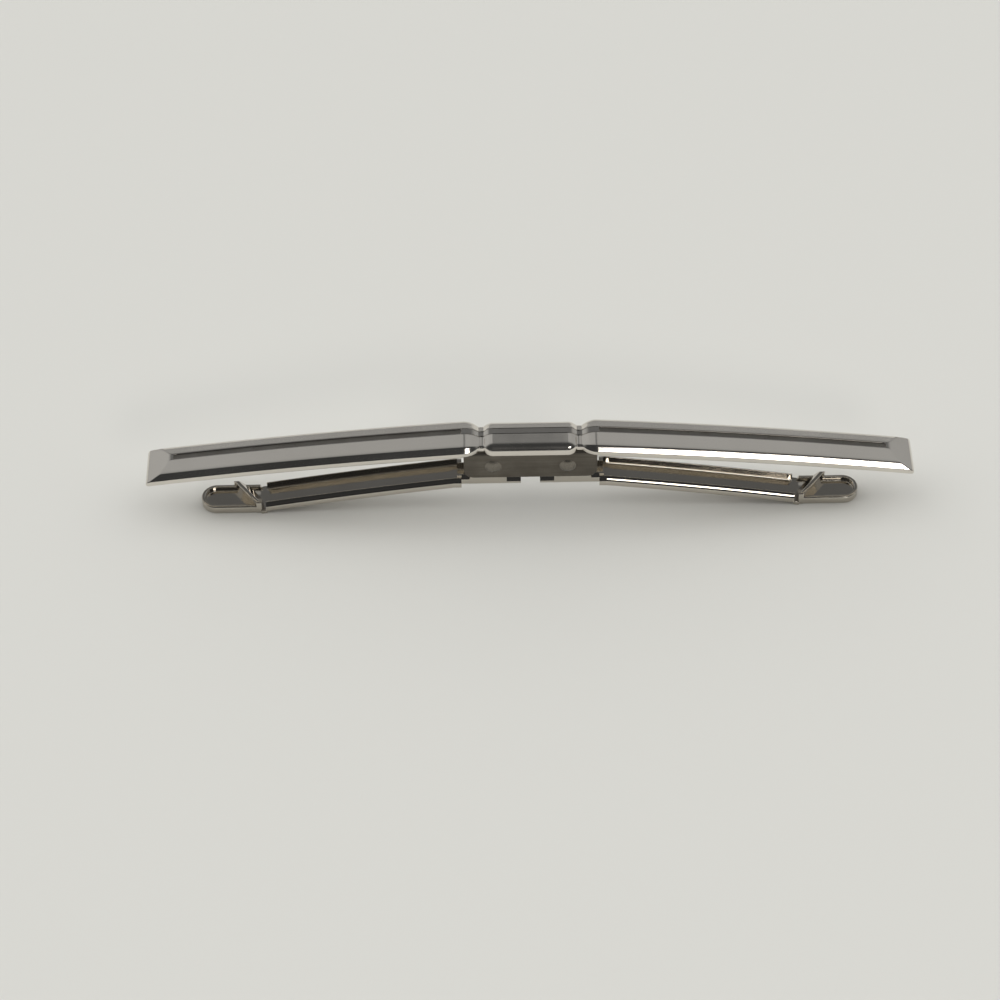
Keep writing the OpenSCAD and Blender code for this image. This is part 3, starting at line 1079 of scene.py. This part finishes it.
    def dress(self, tree: Tree) -> Object:
        """Winds the spring and gives it its steel.

        The spring rides on no body, and its legs stay as they are wound.

        Args:
            tree: The tree from coil_tree.

        Returns:
            The finished spring.
        """
        steel = SPRING_STEEL.material()
        piece = as_object(bmesh.new(), f"{self.side.word}_wire_spring")
        grow(piece, tree, self.sizes() | {"Material": steel})
        clean(piece)
        finish_piece(piece, None, f"{self.side.word}_spring", SPRING_STEEL)
        start, end = ((self.side.value * self.pin_x * MM, 0.0, (self.pin_level - drop) * MM)
                      for drop in self.leg_bend)
        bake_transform(piece)
        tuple(start)
        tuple(end)
        return piece


@dataclass
class Jaw:
    """A stamped channel that turns on a pin, with its tail, lugs, arm and foot."""

    side: Side
    pin_level: float
    pin_x: float = 2.9
    pin_hole: float = 0.88
    reach: float = 26.0
    width: float = 2.6
    sheet: float = 0.35
    wall: float = 1.05
    slope: float = 7.9
    bow: float = 285.0
    bend: float = 1.2
    root_drop: float = 2.7
    root_width: float = 1.8
    shoulder: float = 5.4
    arm_start: float = 5.9
    tail: float = 0.75
    tail_wall: float = 0.75
    lug: float = 1.03
    heel: float = 1.2
    flare: float = 0.7
    fold: float = 0.36
    inner_fold: float = 0.12
    wall_end: float = 0.35
    chamfer: float = 0.44
    chamfer_slope: float = 52.0
    crease: float = 0.02
    edge: float = 0.05
    foot_length: float = 4.8
    foot_width: float = 2.4
    rim: float = 0.75
    rim_sheet: float = 0.32
    rim_round: float = 0.1
    rim_start: float = 0.05
    rim_run: float = 0.14
    grip: float = 1.2
    grip_sheet: float = 0.3
    grip_run: float = 1.0
    grip_round: float = 0.1
    grip_skew: float = 38.0
    grip_x: float = 1.15
    grip_inset: float = 0.004
    grip_root: float = 0.02

    @property
    def root(self) -> float:
        """Level of the underside of the root."""
        return self.pin_level - self.root_drop

    @property
    def foot(self) -> float:
        """Place where the arm ends and the foot begins."""
        return self.reach - self.foot_length

    def low(self, x: float) -> float:
        """Finds the level of the channel's underside.

        Args:
            x: Distance from the middle.

        Returns:
            The level there.
        """
        slope = math.radians(self.slope)
        if x <= self.arm_start:
            return self.root
        if x <= self.arm_start + self.bend * math.sin(slope):
            return self.root - self.bend + math.sqrt(self.bend ** 2 - (x - self.arm_start) ** 2)
        centre_x = self.arm_start + (self.bend - self.bow) * math.sin(slope)
        centre_z = self.root - self.bend + (self.bend - self.bow) * math.cos(slope)
        return centre_z + math.sqrt(self.bow ** 2 - (x - centre_x) ** 2)

    def top(self, x: float) -> float:
        """Finds the level of the top of the side walls.

        Args:
            x: Distance from the middle.

        Returns:
            The level there.
        """
        lug_top, heel = self.pin_level + self.lug, self.pin_x + self.heel
        if x < self.pin_x - self.lug:
            return self.root + self.tail_wall
        if x <= self.pin_x:
            return self.pin_level + math.sqrt(max(self.lug ** 2 - (x - self.pin_x) ** 2, 0))
        if x <= heel:
            return lug_top
        if x <= heel + self.flare:
            return mix(lug_top, self.root + self.wall, (x - heel) / self.flare)
        return self.low(x) + self.wall

    def half_section(self, x: float, outer: float, inner: float) -> list[Flat]:
        """Lists the points of half a channel section, from its underside to its floor.

        Args:
            x: Distance from the middle.
            outer: Place across of the wall's outside.
            inner: Place across of its inside.

        Returns:
            Points as (across, up).
        """
        low, top, edge = self.low(x), self.top(x), self.edge
        tilt, soft, floor = math.radians(self.chamfer_slope), self.crease, low + self.sheet
        run, drop = self.chamfer * math.cos(tilt), self.chamfer * math.sin(tilt)
        soft_run, soft_drop = soft * math.cos(tilt), soft * math.sin(tilt)
        return (arc((outer - self.fold, low + self.fold), self.fold, -90, 0, 7)
                + [(outer, top - drop - soft), (outer - soft_run, top - drop + soft_drop),
                   (outer - run + soft_run, top - soft_drop), (outer - run - soft, top)]
                + arc((inner + edge, top - edge), edge, 90, 180, 4)
                + arc((inner - self.inner_fold, floor + self.inner_fold),
                      self.inner_fold, 0, -90, 4))

    def channel(self) -> Object:
        """Builds the tail, lugs and arm as one channel.

        Returns:
            The channel.
        """
        step = MERGE * 50
        lug_start, heel = self.pin_x - self.lug, self.pin_x + self.heel
        bent = self.arm_start + self.bend * math.sin(math.radians(self.slope))
        gusset = self.shoulder + self.sheet
        # The sections stand closest round the lugs, at the shoulder and along the bend
        places = [self.tail, self.tail + 0.4, lug_start - step]
        places += [self.pin_x - self.lug * math.cos(math.radians(a)) for a in range(0, 91, 9)]
        places += [heel - 0.3, heel, heel + self.flare / 2, heel + self.flare,
                   self.shoulder - step, self.shoulder + step, gusset - step, gusset + step]
        places += spread(self.arm_start, bent, 5)
        places += spread(bent + 0.3, self.foot - self.wall_end, 44)
        root_outer, arm_outer = self.root_width / 2, self.width / 2
        rings = []
        for x in places:
            outer = root_outer if x < self.shoulder else arm_outer
            inner = (root_outer if x < gusset else arm_outer) - self.sheet
            rings.append(whole_ring(x, self.half_section(x, outer, inner)))
        return as_object(skin(rings), f"{self.side.word}_channel_jaw")

    def bridge(self) -> Object:
        """Builds the length of bare floor between the arm's walls and the foot.

        Returns:
            The floor.
        """
        rings, soft = [], self.edge
        for x in spread(self.foot - self.wall_end - soft, self.foot + soft, 6):
            low, side = max(self.low(x), 0), self.width / 2
            rings.append(whole_ring(x, arc((side - soft, low + soft), soft, -90, 0, 4)
                                    + arc((side - soft, low + self.sheet - soft), soft, 0, 90, 4)))
        return as_object(skin(rings), "foot_bridge")

    def foot_ring(self, inset: float, low: float, rise: float = 0.0) -> Ring:
        """Lists points round the foot's outline.

        Args:
            inset: How far the outline is drawn in.
            low: Level of the points where the foot has no rim.
            rise: How much higher they are where the rim has its full height.

        Returns:
            The points in order.
        """
        half = self.foot_width / 2
        start, end = self.foot - self.sheet / 2, self.reach - half
        straight = spread(start, end, 40)[:-1]
        flat = ([(x, inset - half) for x in straight]
                + arc((end, 0), half - inset, -90, 90, 36)
                + [(x, half - inset) for x in reversed(straight)]
                + [(start, y) for y in spread(half - inset, inset - half, 6)[1:-1]])
        ring = []
        for x, y in flat:
            run = min(max((x - self.foot - self.rim_start) / self.rim_run, 0), 1)
            ring.append((x, y, low + rise * (run * run * (3 - 2 * run))))
        return ring

    def foot_tray(self) -> Object:
        """Builds the foot's floor and the rim round it.

        The rings go round the sole's edge, over the rim and down its inside to the floor.

        Returns:
            The tray.
        """
        curve, thick, stand = self.rim_round, self.rim_sheet, self.rim - self.sheet
        soft = curve * (1 - math.sqrt(0.5))
        rings = [self.foot_ring(curve, 0), self.foot_ring(soft, soft), self.foot_ring(0, curve)]
        rings += [self.foot_ring(inset, self.sheet - drop, stand)
                  for inset, drop in ((0, curve), (soft, soft), (curve, 0))]
        rings += [self.foot_ring(thick + out, self.sheet, stand * share) for out, share in (
            (-curve, 1.0), (-soft, 0.92), (0, 0.75), (0, 0.3), (soft, 0.08), (curve, 0.0))]
        return as_object(skin(rings), "foot_tray")

    def grip_ridge(self) -> Object:
        """Builds the skewed ridge that presses on the cloth, with the slope up to it.

        Returns:
            The ridge, trimmed to the foot.
        """
        half, soft, top = self.grip_sheet / 2, self.grip_round, self.grip
        skew = math.radians(self.grip_skew)
        along, normal = (math.sin(skew), math.cos(skew)), (math.cos(skew), -math.sin(skew))
        incline = math.degrees(math.atan2(top, self.grip_run))
        crest = (arc((half - soft, top - soft), soft, 0, 90, 5)
                 + arc((-half + soft / 2, top - soft), soft, 90, 90 + incline, 5))
        foot = -half - self.grip_run
        slope = [(mix(crest[-1][0], foot, s), mix(crest[-1][1], 0, s)) for s in (0.25, 0.5, 0.75)]
        outline = [(half, 0.0), (half, top / 2)] + crest + slope + [(foot, 0.0)]
        rings = []
        for y in (-self.foot_width, 0.0, self.foot_width):
            ring = []
            for n, z in outline:
                t = (y - n * normal[1]) / along[1]
                ring.append((self.foot + self.grip_x + n * normal[0] + t * along[0], y, z))
            rings.append(ring)
        piece = as_object(skin(rings), "grip_ridge")
        combine(piece, [self.grip_limit()], Work.TRIM)
        return piece

    def grip_limit(self) -> Object:
        """Builds a solid with the foot's outline and round upper edges, to trim the ridge.

        Returns:
            The solid.
        """
        soft, inset = self.grip_round, self.grip_inset
        levels = [(self.grip_root, inset), (self.grip - soft, inset)]
        levels += [(self.grip - soft + soft * math.sin(a), inset + soft * (1 - math.cos(a)))
                   for a in (math.radians(v) for v in (30, 60, 90))]
        rings = [[(max(x, self.foot + inset), y, z) for x, y, z in self.foot_ring(drawn, level)]
                 for level, drawn in levels]
        return as_object(skin(rings), "grip_limit")

    def build(self) -> Object:
        """Builds the jaw's mesh, in millimetres.

        Returns:
            The jaw.
        """
        piece = self.channel()
        combine(piece, [self.bridge(), self.foot_tray(), self.grip_ridge()], Work.WELD)
        hole = rod(self.pin_hole, self.root_width,
                   Matrix.Translation((self.pin_x, 0, self.pin_level)) @ ACROSS)
        combine(piece, [hole], Work.DRILL)
        clean(piece, mirrored=self.side is Side.LEFT)
        return piece

    def dress(self) -> Object:
        """Builds the jaw and gives it its plate."""
        name = f"{self.side.word}_jaw"
        return finish_piece(self.build(), name, name, BRIGHT_NICKEL)


@dataclass(frozen=True)
class SoftBox:
    """A studio lamp with an oval diffuser."""

    name: str
    width: float
    height: float
    distance: float
    azimuth: float
    elevation: float
    glow: float
    tint: str = "ffffff"

    def place(self) -> None:
        """Hangs the lamp so that it faces the clip.

        Azimuth 0 is in front of the clip and 90 to its right. The power is worked out
        from the diffuser's glow, which is what a mirror shows of it.
        """
        lamp = bpy.data.lights.new(self.name, "AREA")
        lamp.shape, lamp.size, lamp.size_y = "ELLIPSE", self.width, self.height
        lamp.energy = self.glow * math.pi ** 2 / 4 * self.width * self.height
        lamp.color = linear(self.tint)[:3]
        a, e = math.radians(self.azimuth), math.radians(self.elevation)
        toward = Vector((math.sin(a) * math.cos(e), -math.cos(a) * math.cos(e), math.sin(e)))
        stand = bpy.data.objects.new(self.name, lamp)
        stand.location = toward * self.distance
        stand.rotation_euler = toward.to_track_quat("Z", "Y").to_euler()
        bpy.context.scene.collection.objects.link(stand)


@dataclass(frozen=True)
class Studio:
    """The pale floor, soft light and camera."""

    floor_size: float = 6.0
    floor_tint: str = "d6d4ce"
    floor_rough: float = 0.9
    sweep_tint: str = "9b9c9c"
    ceiling_tint: str = "abacac"
    left_tint: str = "b4b5b5"
    right_tint: str = "a6a7a7"
    boom_tint: str = "6a6b6c"
    room_tint: str = "3a3b3c"
    ceiling_edge: Flat = (0.1, 0.9)
    boom: float = 0.65
    boom_edge: Flat = (0.25, 0.15)
    arm_edge: Flat = (0.12, 0.0)
    arm_rise: Flat = (0.6, 0.75)
    left_edge: Flat = (-0.4, -0.7)
    right_edge: Flat = (0.4, 0.7)
    room_edge: Flat = (-0.1, -0.5)
    fill: float = 3.9
    elevation: float = 48.116
    azimuth: float = 1.255
    distance: float = 231.1
    aim: float = 6.5
    scale: float = 12.856
    picture: float = 1000.0
    centre: Flat = (530.19, 442.3)
    sensor: float = 36.0

    def floor(self) -> None:
        """Lays the floor."""
        shell = bmesh.new()
        bmesh.ops.create_grid(shell, x_segments=1, y_segments=1, size=self.floor_size / 2 / MM)
        plane = as_object(shell, "studio_floor")
        plane.data.transform(Matrix.Scale(MM, 4))
        made = bpy.data.materials.new("matt_paper")
        made.use_nodes = True
        shader = made.node_tree.nodes["Principled BSDF"]
        shader.inputs["Base Color"].default_value = linear(self.floor_tint)
        shader.inputs["Roughness"].default_value = self.floor_rough
        plane.data.materials.append(made)

    def sky(self) -> None:
        """Gives the room its shade.

        A pale sweep stands behind, a ceiling above and a card at each side. A grey boom
        runs across between sweep and ceiling, with an arm over the clip's middle, and the
        room in front is darker.
        """
        world = bpy.data.worlds.new("studio_room")
        world.use_nodes = True
        bpy.context.scene.world = world
        tree = world.node_tree
        tree.nodes.clear()
        way = add(tree, "ShaderNodeTexCoord").outputs["Generated"]
        along = add(tree, "ShaderNodeSeparateXYZ", links={"Vector": way}).outputs
        back = add(tree, "ShaderNodeMath", {"operation": "SUBTRACT"}, {
            0: along["Y"], 1: self.boom})
        off = add(tree, "ShaderNodeMath", {"operation": "ABSOLUTE"}, {0: back})
        aside = add(tree, "ShaderNodeMath", {"operation": "ABSOLUTE"}, {0: along["X"]})
        shares = {}
        for name, value, (low, high) in (
                ("above", along["Z"], self.ceiling_edge), ("boom", off, self.boom_edge),
                ("over", aside, self.arm_edge), ("high", along["Z"], self.arm_rise),
                ("left", along["X"], self.left_edge), ("right", along["X"], self.right_edge),
                ("front", along["Y"], self.room_edge)):
            kind = "LINEAR" if name == "above" else "SMOOTHSTEP"
            shares[name] = add(tree, "ShaderNodeMapRange", {"interpolation_type": kind}, {
                "Value": value, "From Min": low, "From Max": high})
        arm = add(tree, "ShaderNodeMath", {"operation": "MULTIPLY"}, {
            0: shares["over"], 1: shares["high"]})
        frame_share = add(tree, "ShaderNodeMath", {"operation": "MAXIMUM"}, {
            0: shares["boom"], 1: arm})
        shade = linear(self.sweep_tint)
        for share, tint in ((shares["above"], self.ceiling_tint), (frame_share, self.boom_tint),
                            (shares["left"], self.left_tint), (shares["right"], self.right_tint),
                            (shares["front"], self.room_tint)):
            shade = add(tree, "ShaderNodeMix", {"data_type": "RGBA"}, {
                "Factor": share, 6: shade, 7: linear(tint)}).outputs[2]
        rays = add(tree, "ShaderNodeLightPath").outputs
        seen = rays["Is Camera Ray"]
        for ray in ("Is Glossy Ray", "Is Transmission Ray"):
            seen = add(tree, "ShaderNodeMath", {"operation": "ADD", "use_clamp": True}, {
                0: seen, 1: rays[ray]}).outputs[0]
        strength = add(tree, "ShaderNodeMapRange", links={
            "Value": seen, "To Min": self.fill, "To Max": 1.0})
        glow = add(tree, "ShaderNodeBackground", links={"Color": shade, "Strength": strength})
        add(tree, "ShaderNodeOutputWorld", links={"Surface": glow})

    def camera(self) -> None:
        """Sets the camera up as the photograph was taken."""
        e, a = math.radians(self.elevation), math.radians(self.azimuth)
        ahead = Vector((math.sin(a) * math.cos(e), math.cos(a) * math.cos(e), -math.sin(e)))
        right = Vector((math.cos(a), -math.sin(a), 0))
        up = right.cross(ahead)
        lens = bpy.data.cameras.new("clip_camera")
        lens.sensor_width = self.sensor
        lens.lens = self.distance * self.scale / self.picture * self.sensor
        lens.shift_x = 0.5 - self.centre[0] / self.picture
        lens.shift_y = self.centre[1] / self.picture - 0.5
        lens.clip_start, lens.clip_end = 0.001, 100.0
        view = bpy.data.objects.new("clip_camera", lens)
        turn = Matrix((right, up, -ahead)).transposed().to_4x4()
        place = (Vector((0, 0, self.aim)) - ahead * self.distance) * MM
        view.matrix_world = Matrix.Translation(place) @ turn
        bpy.context.scene.collection.objects.link(view)
        bpy.context.scene.camera = view

    def light(self) -> None:
        """Hangs the lamps."""
        SoftBox("key_lamp", width=0.4, height=0.18, distance=1.1, azimuth=20.0,
                elevation=25.5, glow=8.0, tint="fffcf8").place()

    def build(self) -> None:
        """Builds the whole studio."""
        self.floor()
        self.sky()
        self.camera()
        self.light()
        bpy.context.scene.view_settings.view_transform = "Standard"


def main() -> None:
    """Builds the clip and the studio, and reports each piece."""
    logging.basicConfig(level=logging.INFO, format="%(message)s")
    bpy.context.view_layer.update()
    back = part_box("hinge_housing")[1].z / MM
    pin_low, pin_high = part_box("right_hinge_pin")
    pin_level = (pin_low.z + pin_high.z) / 2 / MM
    housing = HingeHousing(back, pin_level)
    web = back - housing.sheet
    pieces = [FrontBar(back).dress(), StudHeads(web).dress(), housing.dress()]
    tree = TorsionSpring.coil_tree()
    for side in Side:
        jaw = Jaw(side, pin_level)
        spring = TorsionSpring(side, pin_level, web, jaw.root + jaw.sheet)
        pieces += [HingePin(side, pin_level).dress(), jaw.dress(), spring.dress(tree)]
    Studio().build()
    for piece in pieces:
        low, high = (Vector(map(f, *(v.co for v in piece.data.vertices))) / MM
                     for f in (min, max))
        log.info("%s: %d faces, %s to %s mm", piece.name, len(piece.data.polygons),
                 [round(c, 3) for c in low], [round(c, 3) for c in high])


if __name__ == "__main__":
    main()
